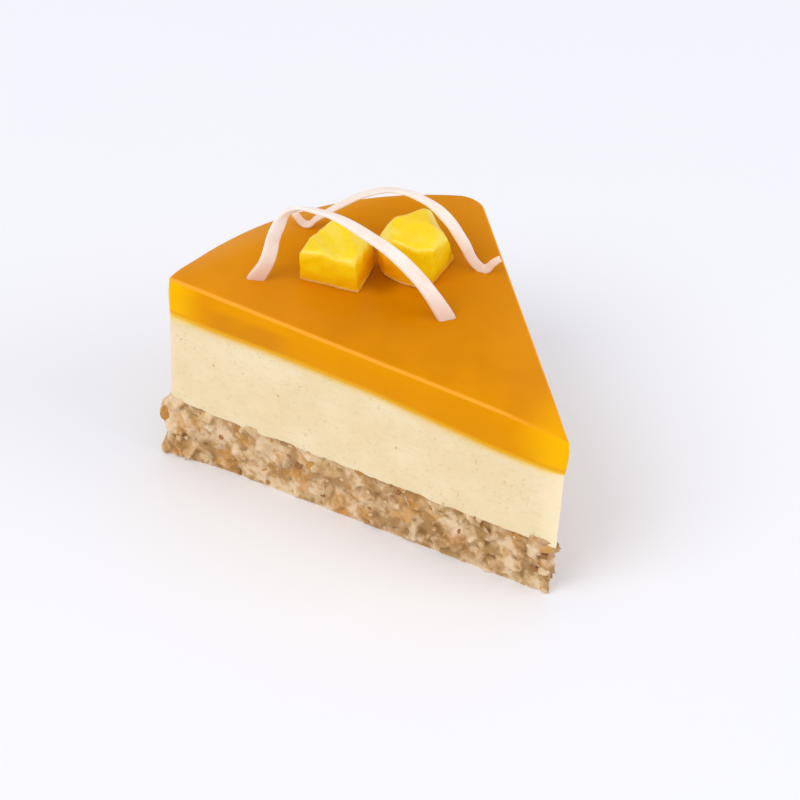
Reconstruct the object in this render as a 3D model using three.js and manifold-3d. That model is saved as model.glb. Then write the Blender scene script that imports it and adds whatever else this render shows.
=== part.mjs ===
// A wedge of mango cheesecake: a crumb base, a cream layer, a fruit jelly, two mango cubes and two
// curls. Lengths are millimetres and +Z is up. The slice is drawn with its tip at the origin and
// +Y running from the tip to the rim, then moved so that the origin is the middle of its footprint.
import * as THREE from 'three';
import * as BufferGeometryUtils from 'three/addons/utils/BufferGeometryUtils.js';
import Module from 'manifold-3d';

// The cut, seen from above
const leftSide = 105; // tip to the left rim corner
const rightSide = 91; // tip to the right rim corner
const tipAngle = 51; // degrees between the two cuts
const rimRadius = 81; // of the arc between the two rim corners
const tipRound = 0.8; // length that each corner's rounding takes from its sides
const leftRimRound = 0.8;
const rightRimRound = 6.5;
const curveSteps = 24;

// The layers, as thick as they are at the tip
const baseHeight = 16.5;
const creamHeight = 22.6;
const jellyHeight = 9.9;
const rimGain = 0.00102; // share that every height grows by for each mm away from the tip
const seam = 0.3; // gap between pieces that touch

// The crumb base: lumps pressed onto a plain core
const coreInset = 1.7;
const lumpRows = 3;
const lumpSpacing = 6.4;
const lumpRadius = [2.6, 4.6];
const lumpFlatness = [0.62, 1];
const lumpBulge = [-0.7, 1.5]; // how far a lump stands out past the cream
const cornerBulge = 1.9; // added at the left rim corner, where the base spreads most
const cornerReach = 16;
const lumpSink = 0.85; // share of a lump's radius that lies inside its outer face
const lumpRoughness = 0.22;
const sideJitter = 0.5; // share of the spacing by which a lump is off its place along the row
const heightJitter = 0.4; // and up or down, as a share of the rows' height

// Each mango cube is what some flat knife cuts leave of a block: the way each cut faces (degrees
// round from +X, degrees up from level) and how far it lies from the cube's middle
const mangoBlock = 30;
const mangoCubes = {
  mango_left: {
    middle: [-9.5, 75.7],
    lift: 5.9, // height of the middle above the jelly
    cuts: [[217, 1, 6], [303, 8, 6.6], [15, 8, 7.6], [72, 4, 7.6], [116, -5, 6.7], [175, 78, 4.6],
      [314, 57, 5.7]],
  },
  mango_right: {
    middle: [8.8, 68.2],
    lift: 5.5,
    cuts: [[212, 0, 8.8], [251, 0, 8.6], [296, 0, 6.9], [342, 20, 7], [88, 2, 5.8], [109, 0, 7.3],
      [192, -5, 9.2], [165, -4, 9.3], [308, 81, 5.9], [140, 45, 9]],
  },
};

// Each curl is a ribbon that arches over the fruit. Its profile is given as distance from the first
// foot and height above the jelly. Its twist is given as share of its length and degrees, where a
// ribbon with no twist lies flat along the crown
const curls = {
  curl_front: {
    from: [-27.7, 83.7],
    to: [2.3, 48.2],
    profile: [[-0.6, -1.5], [0, 0], [2.6, 5.6], [5, 15.9], [8.2, 22], [14.8, 23.4], [26.5, 19.4],
      [38.2, 11], [46.5, 0], [47.3, -1.5]],
    twist: [[0, -77], [0.25, -70], [0.42, -20], [0.72, 35], [1, 52]],
    width: [3.5, 4.3],
    thickness: 1.1,
  },
  curl_back: {
    from: [-5.5, 94.1],
    to: [20.9, 57.5],
    profile: [[-3.2, 2.8], [0, 0.4], [2.8, 3.1], [9.5, 9.5], [15.8, 14.4], [22.2, 16.9], [29.2, 16.2],
      [35, 12.7], [39.6, 6.8], [43.4, 1.2], [45.3, 0.5], [47.4, 3], [48.9, 4.7]],
    twist: [[0, 20], [0.3, 20], [0.5, -12], [0.75, 50], [1, 56]],
    width: [2.7, 3.2],
    thickness: 1.1,
  },
};
const curlSides = 8;
const curlSteps = 32;

const looks = {
  base: { color: 0xc9a06a, roughness: 0.9 },
  cream: { color: 0xf3dcb2, roughness: 0.75 },
  jelly: { color: 0xdd8c10, roughness: 0.25 },
  mango_left: { color: 0xf7bf1e, roughness: 0.4 },
  mango_right: { color: 0xf7bf1e, roughness: 0.4 },
  curl_front: { color: 0xf5ebe4, roughness: 0.5 },
  curl_back: { color: 0xf5ebe4, roughness: 0.5 },
};

const wasm = await Module();
wasm.setup();

const halfAngle = THREE.MathUtils.degToRad(tipAngle / 2);
const alongLeft = new THREE.Vector2(-Math.sin(halfAngle), Math.cos(halfAngle));
const alongRight = new THREE.Vector2(Math.sin(halfAngle), Math.cos(halfAngle));
const rimCentre = findRimCentre();
const creamTop = baseHeight + creamHeight;
const jellyTop = creamTop + jellyHeight;
const random = seededRandom(27);

// Mulberry32, so that every run scatters the lumps alike
function seededRandom(seed) {
  let state = seed;
  return () => {
    state = (state + 0x6d2b79f5) | 0;
    let mixed = Math.imul(state ^ (state >>> 15), 1 | state);
    mixed = (mixed + Math.imul(mixed ^ (mixed >>> 7), 61 | mixed)) ^ mixed;
    return ((mixed ^ (mixed >>> 14)) >>> 0) / 4294967296;
  };
}

function between([low, high]) {
  return THREE.MathUtils.lerp(low, high, random());
}

function swing(width) {
  return (random() - 0.5) * width;
}

// The rim arc's centre lies on the tip's side of the chord between the rim corners
function findRimCentre() {
  const left = alongLeft.clone().multiplyScalar(leftSide);
  const right = alongRight.clone().multiplyScalar(rightSide);
  const chord = right.clone().sub(left);
  const inward = new THREE.Vector2(chord.y, -chord.x).normalize();
  const depth = Math.sqrt(rimRadius ** 2 - chord.lengthSq() / 4);
  return left.add(right).divideScalar(2).addScaledVector(inward, depth);
}

// Where a cut that starts at `tip` meets the rim arc of radius `radius`
function rimCorner(tip, along, radius) {
  const offset = tip.clone().sub(rimCentre);
  const half = offset.dot(along);
  const reach = Math.sqrt(half ** 2 - offset.lengthSq() + radius ** 2) - half;
  return tip.clone().addScaledVector(along, reach);
}

// The slice's outline from above, drawn in by `inset` all round
function sliceOutline(inset) {
  const tip = new THREE.Vector2(0, inset / Math.sin(halfAngle));
  const radius = rimRadius - inset;
  const left = rimCorner(tip, alongLeft, radius);
  const right = rimCorner(tip, alongRight, radius);
  const rightTurn = right.clone().sub(rimCentre).angle();
  const leftTurn = left.clone().sub(rimCentre).angle();
  const start = tip.clone().addScaledVector(alongRight, tipRound);
  const end = tip.clone().addScaledVector(alongLeft, tipRound);
  const beforeRight = right.clone().addScaledVector(alongRight, -rightRimRound);
  const afterLeft = left.clone().addScaledVector(alongLeft, -leftRimRound);
  const arcStart = rightTurn + rightRimRound / radius;
  const arcEnd = leftTurn - leftRimRound / radius;
  const arcFirst = new THREE.Vector2(Math.cos(arcStart), Math.sin(arcStart));
  arcFirst.multiplyScalar(radius).add(rimCentre);
  const shape = new THREE.Shape();
  shape.moveTo(start.x, start.y);
  shape.lineTo(beforeRight.x, beforeRight.y);
  shape.quadraticCurveTo(right.x, right.y, arcFirst.x, arcFirst.y);
  shape.absarc(rimCentre.x, rimCentre.y, radius, arcStart, arcEnd, false);
  shape.quadraticCurveTo(left.x, left.y, afterLeft.x, afterLeft.y);
  shape.lineTo(end.x, end.y);
  shape.quadraticCurveTo(tip.x, tip.y, start.x, start.y);
  return shape;
}

function heightAt(height, y) {
  return height * (1 + rimGain * y);
}

// A flat layer of the slice between two heights given at the tip, thicker towards the rim
function layer(inset, bottom, top) {
  const geometry = new THREE.ExtrudeGeometry(sliceOutline(inset), {
    depth: top - bottom,
    bevelEnabled: false,
    curveSegments: curveSteps,
  });
  geometry.translate(0, 0, bottom);
  const position = geometry.attributes.position;
  for (let i = 0; i < position.count; i += 1) {
    position.setZ(i, heightAt(position.getZ(i), position.getY(i)));
  }
  return geometry;
}

function toSolid(geometry) {
  const bare = geometry.clone();
  bare.deleteAttribute('normal');
  bare.deleteAttribute('uv');
  const merged = BufferGeometryUtils.mergeVertices(bare, 1e-4);
  return new wasm.Manifold(new wasm.Mesh({
    numProp: 3,
    vertProperties: new Float32Array(merged.attributes.position.array),
    triVerts: new Uint32Array(merged.index.array),
  }));
}

function toGeometry(solid) {
  const mesh = solid.getMesh();
  const geometry = new THREE.BufferGeometry();
  geometry.setAttribute('position', new THREE.BufferAttribute(mesh.vertProperties, 3));
  geometry.setIndex(new THREE.BufferAttribute(mesh.triVerts, 1));
  return geometry;
}

// Keeps what is above the sloping plane at `height`, or below it when `keep` is -1
function trimAtHeight(solid, height, keep) {
  const slope = height * rimGain;
  const length = Math.hypot(slope, 1);
  return solid.trimByPlane([0, (-slope * keep) / length, keep / length], (height * keep) / length);
}

// One lump of crumb: a dented icosahedron, squashed and turned at random
function lump(radius, place) {
  let geometry = new THREE.IcosahedronGeometry(1, 0);
  geometry.deleteAttribute('normal');
  geometry.deleteAttribute('uv');
  geometry = BufferGeometryUtils.mergeVertices(geometry);
  const position = geometry.attributes.position;
  const point = new THREE.Vector3();
  for (let i = 0; i < position.count; i += 1) {
    point.fromBufferAttribute(position, i);
    point.multiplyScalar(1 + swing(2 * lumpRoughness));
    position.setXYZ(i, point.x, point.y, point.z);
  }
  geometry.scale(radius, radius * between(lumpFlatness), radius * between(lumpFlatness));
  geometry.rotateX(random() * Math.PI);
  geometry.rotateZ(random() * Math.PI);
  geometry.translate(place.x, place.y, place.z);
  return toSolid(geometry);
}

// Lumps in rows all round the core, fused to it and cut level with the cream and the plate
function crumbBase() {
  const corner = rimCorner(new THREE.Vector2(), alongLeft, rimRadius);
  const path = sliceOutline(0);
  const count = Math.round(path.getLength() / lumpSpacing);
  const pieces = [toSolid(layer(coreInset, 0, baseHeight))];
  const place = new THREE.Vector3();
  for (let row = 0; row < lumpRows; row += 1) {
    for (let i = 0; i < count; i += 1) {
      const share = (i + 1 + (row % 2) / 2 + swing(sideJitter)) / count;
      const onPath = path.getPointAt(share % 1);
      const tangent = path.getTangentAt(share % 1);
      const radius = between(lumpRadius);
      const spread = Math.max(0, 1 - onPath.distanceTo(corner) / cornerReach) * cornerBulge;
      const depth = radius * lumpSink - between(lumpBulge) - spread;
      const level = ((row + 0.5 + swing(heightJitter)) / lumpRows) * baseHeight;
      place.set(onPath.x - tangent.y * depth, onPath.y + tangent.x * depth, heightAt(level, onPath.y));
      pieces.push(lump(radius, place));
    }
  }
  let solid = wasm.Manifold.union(pieces);
  solid = solid.trimByPlane([0, 0, 1], 0);
  solid = trimAtHeight(solid, baseHeight - seam, -1);
  const shells = solid.decompose().sort((a, b) => b.volume() - a.volume());
  return toGeometry(shells[0]);
}

// A cube of fruit, cut from a block and set on the jelly
function mangoCube({ middle, lift, cuts }) {
  const centre = new THREE.Vector3(middle[0], middle[1], heightAt(jellyTop, middle[1]) + lift);
  const block = new THREE.BoxGeometry(mangoBlock, mangoBlock, mangoBlock);
  block.translate(centre.x, centre.y, centre.z);
  let solid = toSolid(block);
  for (const [round, up, distance] of cuts) {
    const rise = THREE.MathUtils.degToRad(up);
    const outward = new THREE.Vector3(Math.cos(rise), 0, Math.sin(rise));
    outward.applyAxisAngle(new THREE.Vector3(0, 0, 1), THREE.MathUtils.degToRad(round));
    const reach = outward.dot(centre) + distance;
    solid = solid.trimByPlane([-outward.x, -outward.y, -outward.z], -reach);
  }
  solid = trimAtHeight(solid, jellyTop + seam, 1);
  return toGeometry(solid);
}

// Degrees of twist at a share of the ribbon's length, eased from each given value to the next
function twistAt(twist, share) {
  const next = Math.max(1, twist.findIndex(([end]) => end >= share));
  const [before, low] = twist[next - 1];
  const [after, high] = twist[next];
  return THREE.MathUtils.lerp(low, high, THREE.MathUtils.smoothstep(share, before, after));
}

// A ribbon bent along its profile: a flattened cylinder whose rings follow the curve, cut level
// with the jelly at its feet
function curl({ from, to, profile, twist, width, thickness }) {
  const start = new THREE.Vector2(...from);
  const heading = new THREE.Vector2(...to).sub(start).normalize();
  const points = profile.map(([distance, height]) => {
    const place = start.clone().addScaledVector(heading, distance);
    return new THREE.Vector3(place.x, place.y, heightAt(jellyTop, place.y) + height);
  });
  const path = new THREE.CatmullRomCurve3(points, false, 'centripetal');
  const level = new THREE.Vector3(heading.y, -heading.x, 0);
  const geometry = new THREE.CylinderGeometry(1, 1, 1, curlSides, curlSteps);
  const position = geometry.attributes.position;
  const broad = new THREE.Vector3();
  const flat = new THREE.Vector3();
  for (let i = 0; i < position.count; i += 1) {
    const share = position.getY(i) + 0.5;
    const point = path.getPointAt(share);
    const tangent = path.getTangentAt(share);
    broad.copy(level).applyAxisAngle(tangent, THREE.MathUtils.degToRad(twistAt(twist, share)));
    flat.crossVectors(tangent, broad);
    const across = THREE.MathUtils.lerp(...width, share);
    point.addScaledVector(broad, (position.getX(i) * across) / 2);
    point.addScaledVector(flat, (-position.getZ(i) * thickness) / 2);
    position.setXYZ(i, point.x, point.y, point.z);
  }
  return toGeometry(trimAtHeight(toSolid(geometry), jellyTop + seam, 1));
}

const geometries = {
  base: crumbBase(),
  cream: layer(0, baseHeight, creamTop - seam),
  jelly: layer(0, creamTop, jellyTop),
};
for (const [name, cube] of Object.entries(mangoCubes)) {
  geometries[name] = mangoCube(cube);
}
for (const [name, ribbon] of Object.entries(curls)) {
  geometries[name] = curl(ribbon);
}

const group = new THREE.Group();
for (const [name, geometry] of Object.entries(geometries)) {
  const mesh = new THREE.Mesh(geometry, new THREE.MeshStandardMaterial({ ...looks[name], metalness: 0 }));
  mesh.name = name;
  group.add(mesh);
}

// The origin is the middle of the footprint, level with what the slice stands on
const reach = new THREE.Box3().setFromObject(group);
group.position.set(-(reach.min.x + reach.max.x) / 2, -(reach.min.y + reach.max.y) / 2, -reach.min.z);

export default group;
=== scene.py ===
from math import asin, ceil, cos, pi, radians, sin, sqrt
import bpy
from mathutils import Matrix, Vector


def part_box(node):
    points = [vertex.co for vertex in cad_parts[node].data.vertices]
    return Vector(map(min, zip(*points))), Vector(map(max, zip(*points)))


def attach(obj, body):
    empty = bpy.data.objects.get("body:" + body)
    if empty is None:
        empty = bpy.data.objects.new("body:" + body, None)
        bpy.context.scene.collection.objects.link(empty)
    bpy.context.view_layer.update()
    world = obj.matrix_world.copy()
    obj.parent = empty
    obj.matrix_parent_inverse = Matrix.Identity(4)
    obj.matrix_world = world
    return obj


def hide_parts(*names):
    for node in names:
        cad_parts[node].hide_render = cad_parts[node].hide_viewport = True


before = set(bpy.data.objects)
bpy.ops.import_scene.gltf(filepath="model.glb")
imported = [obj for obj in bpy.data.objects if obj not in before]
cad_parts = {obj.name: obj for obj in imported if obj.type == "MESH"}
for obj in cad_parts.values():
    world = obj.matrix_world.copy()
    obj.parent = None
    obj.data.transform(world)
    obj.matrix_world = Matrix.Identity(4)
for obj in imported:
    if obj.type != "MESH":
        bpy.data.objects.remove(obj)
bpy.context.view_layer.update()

from types import SimpleNamespace

import bmesh
import bpy
import numpy as np
from mathutils import Matrix, Quaternion, Vector
from mathutils.kdtree import KDTree

mm = 0.001
hair = 1e-6  # metres; places closer than this are the same

# The slice as it was cut, in millimetres; the tip's place is in the frame
cake = {
    "tip": (4.63, -50.357),
    "tipAngle": 51.0,
    "leftSide": 105.0,
    "rightSide": 91.0,
    "rimRadius": 81.0,
    "tipRound": 0.8,
    "leftRimRound": 1.1,
    "rightRimRound": 5.2,
    "cornerSegments": {"tip": 4, "leftRim": 4, "rightRim": 12},
    "cornerProfile": 0.56,
    "capRing": 0.35,  # width of the ring that keeps each layer's top and bottom flat
    "rimGain": 0.00102,  # share that every height grows by for each mm away from the tip
    "creamBottom": 16.5,
    "creamTop": 39.1,
    "jellyTop": 49.0,
    "betweenFruit": (-3.0, 67.5, 52.5),  # the painted shadow between the cubes, from the tip
}


def outline():
    half = radians(cake["tipAngle"] / 2)
    tip = Vector((cake["tip"][0], cake["tip"][1], 0)) * mm
    left = Vector((-sin(half), cos(half), 0))
    right = Vector((sin(half), cos(half), 0))
    leftRim = tip + left * cake["leftSide"] * mm
    rightRim = tip + right * cake["rightSide"] * mm
    chord = rightRim - leftRim
    inward = Vector((chord.y, -chord.x, 0)).normalized()
    reach = sqrt((cake["rimRadius"] * mm) ** 2 - chord.length_squared / 4)
    return SimpleNamespace(
        tip=tip, left=left, right=right, leftRim=leftRim, rightRim=rightRim,
        leftOut=Vector((-left.y, left.x, 0)), rightOut=Vector((right.y, -right.x, 0)),
        centre=(leftRim + rightRim) / 2 + inward * reach, radius=cake["rimRadius"] * mm)


wedge = outline()


def heightAt(level, y):
    # the height in metres of a level given in millimetres at the tip
    return level * mm * (1 + cake["rimGain"] * (y - wedge.tip.y) / mm)


# Working in edit mode


def mode(kind):
    bpy.ops.object.mode_set(mode=kind)


def selectAll():
    bpy.ops.mesh.select_all(action="SELECT")


def clearSelection():
    if bpy.context.mode != "OBJECT":
        mode("OBJECT")
    bpy.ops.object.select_all(action="DESELECT")


def onlyThis(piece):
    clearSelection()
    piece.select_set(True)
    bpy.context.view_layer.objects.active = piece


def newPiece(name):
    # the primitive just added: named, its place kept in its mesh
    piece = bpy.context.object
    piece.name = piece.data.name = name
    bpy.ops.object.transform_apply(location=True, rotation=True, scale=True)
    return piece


def addObject(name, data):
    added = bpy.data.objects.new(name, data)
    bpy.context.collection.objects.link(added)
    return added


def pick(piece, kind, test):
    # selects the vertices, edges or faces that pass the test, and no others
    bpy.ops.mesh.select_mode(type=kind)
    bpy.ops.mesh.select_all(action="DESELECT")
    shape = bmesh.from_edit_mesh(piece.data)
    parts = {"VERT": shape.verts, "EDGE": shape.edges, "FACE": shape.faces}[kind]
    for part in parts:
        if test(part):
            part.select_set(True)
    bmesh.update_edit_mesh(piece.data)


def cutAway(point, outward, fill):
    selectAll()
    bpy.ops.mesh.bisect(plane_co=point, plane_no=outward, clear_outer=True, use_fill=fill)


def bake(piece, name, kind, **settings):
    # a modifier, applied at once
    modifier = piece.modifiers.new(name, kind)
    for key, value in settings.items():
        setattr(modifier, key, value)
    onlyThis(piece)
    bpy.ops.object.modifier_apply(modifier=name)


def emboss(piece, name, size, depth, group, middle, direction="NORMAL", kind="CLOUDS", **settings):
    # a texture raised from the surface: the size of one swelling and its depth are in millimetres
    texture = bpy.data.textures.new(name, kind)
    texture.noise_scale = size * mm
    for key, value in settings.items():
        setattr(texture, key, value)
    bake(piece, name, "DISPLACE", texture=texture, strength=depth * mm, mid_level=middle,
         vertex_group=group, texture_coords="LOCAL", direction=direction)


def weigh(piece, name, weight):
    # a vertex group with a weight worked out from each vertex's place
    group = piece.vertex_groups.new(name=name)
    for vertex in piece.data.vertices:
        value = weight(vertex.co)
        if value > 0:
            group.add([vertex.index], min(1.0, value), "REPLACE")
    return name


def nudge(piece, move):
    # shifts each vertex by what move gives for its place, in millimetres
    for vertex in piece.data.vertices:
        vertex.co += Vector(move(vertex.co)) * mm


def finishMesh(piece, angle):
    onlyThis(piece)
    mode("EDIT")
    selectAll()
    bpy.ops.mesh.remove_doubles(threshold=hair)
    bpy.ops.mesh.normals_make_consistent(inside=False)
    mode("OBJECT")
    bpy.ops.object.shade_smooth_by_angle(angle=radians(angle))


# The three layers


def longestEdge(piece):
    return max(edge.calc_length() for edge in bmesh.from_edit_mesh(piece.data).edges)


def cutOutline(name, low, step):
    # A disc cut twice by the knife, with its three corners rounded
    clearSelection()
    turns = ceil(2 * pi * cake["rimRadius"] / step)
    bpy.ops.mesh.primitive_circle_add(vertices=turns, radius=wedge.radius, fill_type="NGON",
                                      location=(wedge.centre.x, wedge.centre.y, low * mm))
    piece = newPiece(name)
    mode("EDIT")
    cutAway(wedge.tip, wedge.leftOut, False)
    cutAway(wedge.tip, wedge.rightOut, False)
    for corner, segments in cake["cornerSegments"].items():
        spot, rounding = getattr(wedge, corner), cake[corner + "Round"] * mm
        # The arc's own vertices near a corner give way to its rounding
        nearest = min((v.co - spot).xy.length for v in bmesh.from_edit_mesh(piece.data).verts)
        pick(piece, "VERT", lambda v: nearest + hair < (v.co - spot).xy.length < rounding + 0.2 * mm)
        bpy.ops.mesh.dissolve_verts()
        pick(piece, "VERT", lambda v: (v.co - spot).xy.length < nearest + hair)
        bpy.ops.mesh.bevel(offset=rounding, affect="VERTICES", segments=segments,
                           profile=cake["cornerProfile"])
    return piece


def divideFinely(piece, step):
    # Each round splits the longest edges, until none is much longer than a step
    slack, alike, mostCuts = 1.6, 0.6, 99
    longest = longestEdge(piece)
    while longest > slack * step * mm:
        pick(piece, "EDGE", lambda e: e.calc_length() > alike * longest)
        bpy.ops.mesh.subdivide(number_cuts=min(mostCuts, max(1, round(longest / (step * mm)) - 1)))
        longest = longestEdge(piece)


def layer(name, low, high, step, row, topRow=0.0):
    # The cut outline drawn up row by row, with a last row of its own height where one is given
    piece = cutOutline(name, low, step)
    bpy.ops.mesh.select_mode(type="FACE")
    selectAll()
    bpy.ops.mesh.delete(type="ONLY_FACE")
    divideFinely(piece, step)
    bpy.ops.mesh.select_mode(type="EDGE")
    selectAll()
    bpy.ops.mesh.edge_face_add()
    rows = max(1, round((high - low - topRow) / row))
    steps = [(high - low - topRow) / rows] * rows + ([topRow] if topRow else [])
    for rise in steps:
        bpy.ops.mesh.extrude_region_move(TRANSFORM_OT_translate={"value": (0, 0, rise * mm)})
    pick(piece, "FACE", lambda f: len(f.verts) > 8)  # only the top and the bottom have that many
    bpy.ops.mesh.inset(thickness=cake["capRing"] * mm, use_individual=True)
    mode("OBJECT")
    return piece


def raiseRim(piece):
    # Every height grows from the tip to the rim: one lattice whose far top edge is lifted
    clearSelection()
    wide, deep, tall, ahead = 0.3, 0.13, 0.09, 0.01  # the lattice and how far it starts before the tip, m
    tip = wedge.tip
    bpy.ops.object.add(type="LATTICE", location=(tip.x, tip.y + deep / 2 - ahead, tall / 2))
    cage = bpy.context.object
    cage.scale = (wide, deep, tall)
    cage.data.points_u = cage.data.points_v = cage.data.points_w = 2
    for axis in "uvw":
        setattr(cage.data, "interpolation_type_" + axis, "KEY_LINEAR")
    bpy.context.view_layer.update()
    for point in cage.data.points:
        place = cage.matrix_world @ point.co
        lift = place.z * cake["rimGain"] / mm * (place.y - tip.y)
        point.co_deform.z = point.co.z + lift / tall
    bake(piece, "raiseRim", "LATTICE", object=cage)
    bpy.data.objects.remove(cage)


def outFromWall(place):
    # how far a point lies outside the nearest wall (negative inside), and that wall's outward way
    out = place.xy - wedge.centre.xy
    walls = [
        ((place - wedge.tip).dot(wedge.leftOut), wedge.leftOut),
        ((place - wedge.tip).dot(wedge.rightOut), wedge.rightOut),
        (out.length - wedge.radius, Vector((out.x, out.y, 0)).normalized()),
    ]
    return max(walls, key=lambda wall: wall[0])


def onWall(place):
    # 1 on the walls and 0 just inside them
    return ease(outFromWall(place)[0] / mm, -0.3, -0.05)


def levelOf(place):
    # a place's height as it would be at the tip, mm
    return place.z / mm / (1 + cake["rimGain"] * (place.y - wedge.tip.y) / mm)


def between(stops, value):
    # eased from each given value to the next
    for (start, low), (end, high) in zip(stops, stops[1:]):
        if value <= end:
            return low + (high - low) * ease(value, start, end)
    return stops[-1][1]


def fromCut(place):
    # along the left cut from the tip and inwards from it, mm
    off = place - wedge.tip
    return off.dot(wedge.left) / mm, -off.dot(wedge.leftOut) / mm


def ease(value, low, high):
    share = min(1.0, max(0.0, (value - low) / (high - low)))
    return share * share * (3 - 2 * share)


# Materials


def ink(red, green, blue):
    # a colour read off in sRGB bytes, as linear light
    light = [((c / 255 + 0.055) / 1.055) ** 2.4 if c > 10 else c / 3294.6 for c in (red, green, blue)]
    return (*light, 1)


class Wire:
    # An output socket that can stand in a sum. Each step of the sum adds one Math node
    def __init__(self, finish, socket):
        self.finish, self.socket = finish, socket

    def maths(self, operation, *values):
        return self.finish.node("Math", {"operation": operation}, dict(enumerate(values)))

    def __add__(self, other):
        return self.maths("ADD", self, other)

    def __sub__(self, other):
        return self.maths("SUBTRACT", self, other)

    def __rsub__(self, other):
        return self.maths("SUBTRACT", other, self)

    def __mul__(self, other):
        return self.maths("MULTIPLY", self, other)

    def __truediv__(self, other):
        return self.maths("DIVIDE", self, other)


class Finish:
    # A material of one Principled shader, with its even values set on the shader itself
    def __init__(self, name, **even):
        self.material = bpy.data.materials.new(name)
        self.material.use_nodes = True
        self.tree = self.material.node_tree
        self.shader = self.tree.nodes["Principled BSDF"]
        for socket, value in even.items():
            self.shader.inputs[socket.replace("_", " ")].default_value = value
        self.place = self.node("TexCoord", output="Object")

    def node(self, kind, settings=None, sockets=None, output=0):
        # one node with its settings and inputs, as the wire that leaves it
        node = self.tree.nodes.new("ShaderNode" + kind)
        for key, value in (settings or {}).items():
            if key == "stops":
                ramp = node.color_ramp.elements
                while len(ramp) < len(value):
                    ramp.new(0.5)
                for stop, (position, colour) in zip(ramp, value):
                    stop.position, stop.color = position, colour
            else:
                setattr(node, key, value)
        for key, value in (sockets or {}).items():
            if isinstance(value, Wire):
                self.tree.links.new(value.socket, node.inputs[key])
            else:
                node.inputs[key].default_value = value
        return Wire(self, node.outputs[output])

    def mix(self, factor, first, second):
        return self.node("Mix", {"data_type": "RGBA"}, {0: factor, 6: first, 7: second}, 2)

    def over(self, colour, *tones):
        # tones laid over a colour, each by its share where its wire passes from low to high
        for wire, low, high, share, tone in tones:
            colour = self.mix(self.grade(wire, low, high) * share, colour, tone)
        return colour

    def grade(self, value, low, high):
        # 0 below low, 1 above high and smooth between; low may be the larger
        return self.node("MapRange", {"interpolation_type": "SMOOTHSTEP"},
                         {"Value": value, "From Min": low, "From Max": high})

    def vector(self, operation, first, second, output=0):
        return self.node("VectorMath", {"operation": operation}, {0: first, 1: second}, output)

    def along(self, direction):
        # how far past the tip along a direction, mm
        moved = self.vector("SUBTRACT", self.place, tuple(wedge.tip))
        return self.vector("DOT_PRODUCT", moved, tuple(direction), "Value") * (1 / mm)

    def away(self, spot):
        # distance from a spot given from the tip, mm
        spot = tuple(wedge.tip + Vector(spot) * mm)
        return self.vector("DISTANCE", self.place, spot, "Value") * (1 / mm)

    def stretched(self, scale, turn=0.0):
        return self.node("Mapping", {"vector_type": "POINT"},
                         {"Vector": self.place, "Rotation": (0, 0, turn), "Scale": scale})

    def noise(self, size, detail, rough, place=None):
        # size is that of one blotch in millimetres
        return self.node("TexNoise", {}, {"Vector": place or self.place, "Scale": 1 / (size * mm),
                         "Detail": detail, "Roughness": rough}, "Fac")

    def cells(self, size, output="Distance", place=None):
        return self.node("TexVoronoi", {},
                         {"Vector": place or self.place, "Scale": 1 / (size * mm)}, output)

    def wander(self, size, reach):
        # the place, thrown off by up to half of reach; both in millimetres
        throw = self.node("TexNoise", {}, {"Vector": self.place, "Scale": 1 / (size * mm),
                          "Detail": 2.0}, "Color")
        throw = self.vector("SUBTRACT", throw, (0.5, 0.5, 0.5))
        return self.vector("ADD", self.place, self.vector("MULTIPLY", throw, (reach * mm,) * 3))

    def height(self, which):
        return self.node("SeparateXYZ", {}, {"Vector": self.place}, which)

    def level(self):
        # height in mm as it would be at the tip
        gain = cake["rimGain"] / mm
        return self.height("Z") * (1 / mm) / ((self.height("Y") - wedge.tip.y) * gain + 1)

    def facing(self):
        # 1 where the surface faces up, 0 on upright walls
        return self.node("SeparateXYZ", {}, {"Vector": self.node("TexCoord",
                         output="Normal")}, "Z")

    def attribute(self, name, output="Color"):
        return self.node("Attribute", {"attribute_name": name}, {}, output)

    def feed(self, socket, wire):
        self.tree.links.new(wire.socket, self.shader.inputs[socket])

    def complete(self, colour, rough, height, depth):
        # feeds the shader all that varies; depth is in millimetres for a height of 1
        self.feed("Base Color", colour)
        self.feed("Roughness", rough)
        self.feed("Normal", self.node("Bump", {}, {"Height": height, "Distance": depth * mm}))
        return self


def pieceName(node):
    # the piece that replaces mango_left is mangoLeft
    first, second = node.split("_")
    return first + second.capitalize()


def dress(piece, finish, slot, *nodes):
    # gives the piece its material and its body, and hides the solids that it replaces
    piece.data.materials.clear()
    piece.data.materials.append(finish.material)
    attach(piece, "root")
    if nodes:
        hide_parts(*nodes)


# Jelly

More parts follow.
